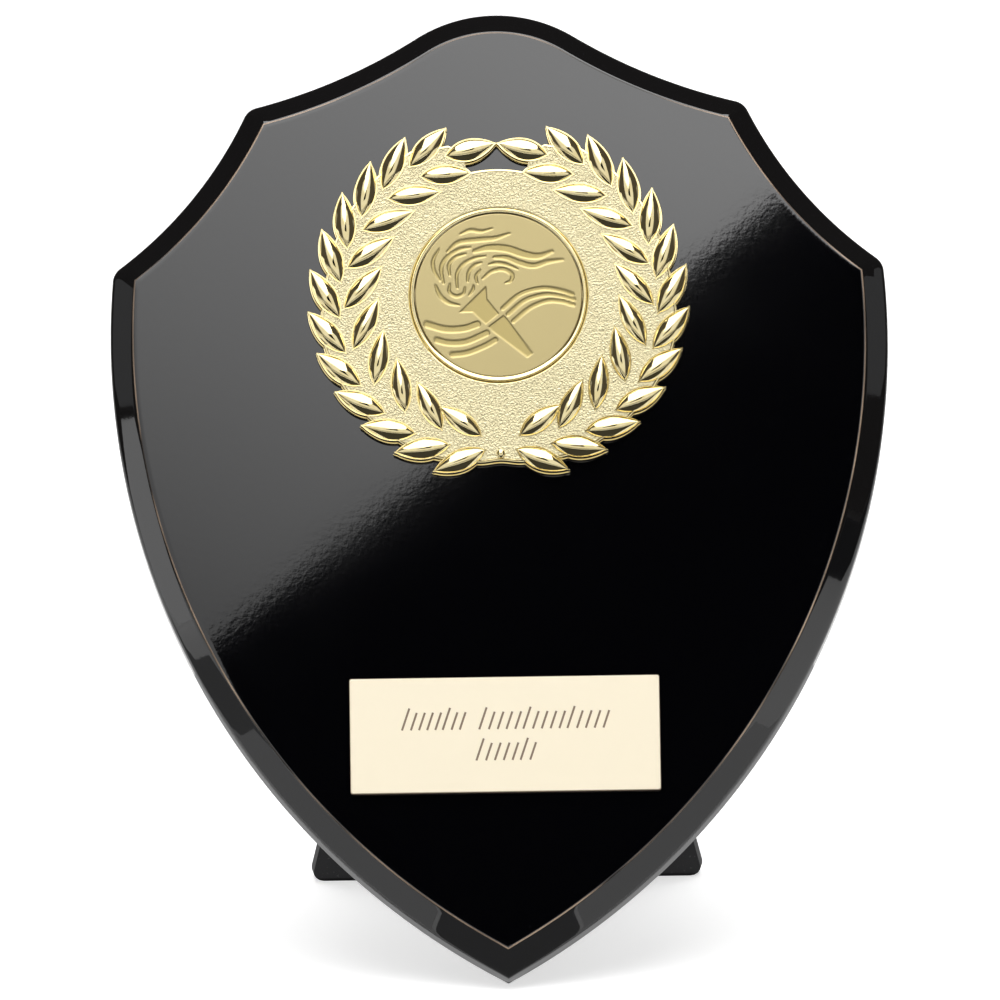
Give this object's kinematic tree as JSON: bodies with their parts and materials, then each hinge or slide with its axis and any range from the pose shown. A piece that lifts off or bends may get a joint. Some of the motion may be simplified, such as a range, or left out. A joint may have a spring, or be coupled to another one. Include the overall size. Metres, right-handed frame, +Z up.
{
  "type": "award shield plaque",
  "caption": "Black shield-shaped award plaque with a gilt wreath moulding round a pressed gold centre, an engraving plate below it, and a folding strut behind.",
  "frame": {"origin": "on the floor, in the middle of the plaque's width and depth", "axes": "+X to the right of a person who faces the plaque, -Y the way that the plaque faces, +Z up, with the board leaning back 23 degrees"},
  "size_m": [0.119, 0.0814, 0.14],
  "materials": {
    "black_lacquer": "MDF under a thick gloss black lacquer",
    "gilt_moulding": "moulded plastic, metallised bright gold, with a stippled ground",
    "pressed_gold": "thin pressed metal, gold, satin",
    "plate_gold": "thin pale gold plate, satin",
    "black_plastic": "moulded black plastic, satin",
    "zinc_steel": "bright zinc plated"
  },
  "bodies": {
    "plaque": {"shield_board": "black_lacquer", "wreath_trim": "gilt_moulding", "centre_disc": "pressed_gold", "engraving_plate": "plate_gold", "strut_bracket": "black_plastic", "bracket_screw_left": "zinc_steel", "bracket_screw_right": "zinc_steel"},
    "strut": {"strut_leg": "black_plastic"}
  },
  "joints": [
    {"name": "strut_fold", "type": "hinge", "parent": "plaque", "child": "strut", "pos_m": [0, 0.0042, 0.07588], "axis": [-1, 0, 0], "range_deg": [0, 47]}
  ]
}
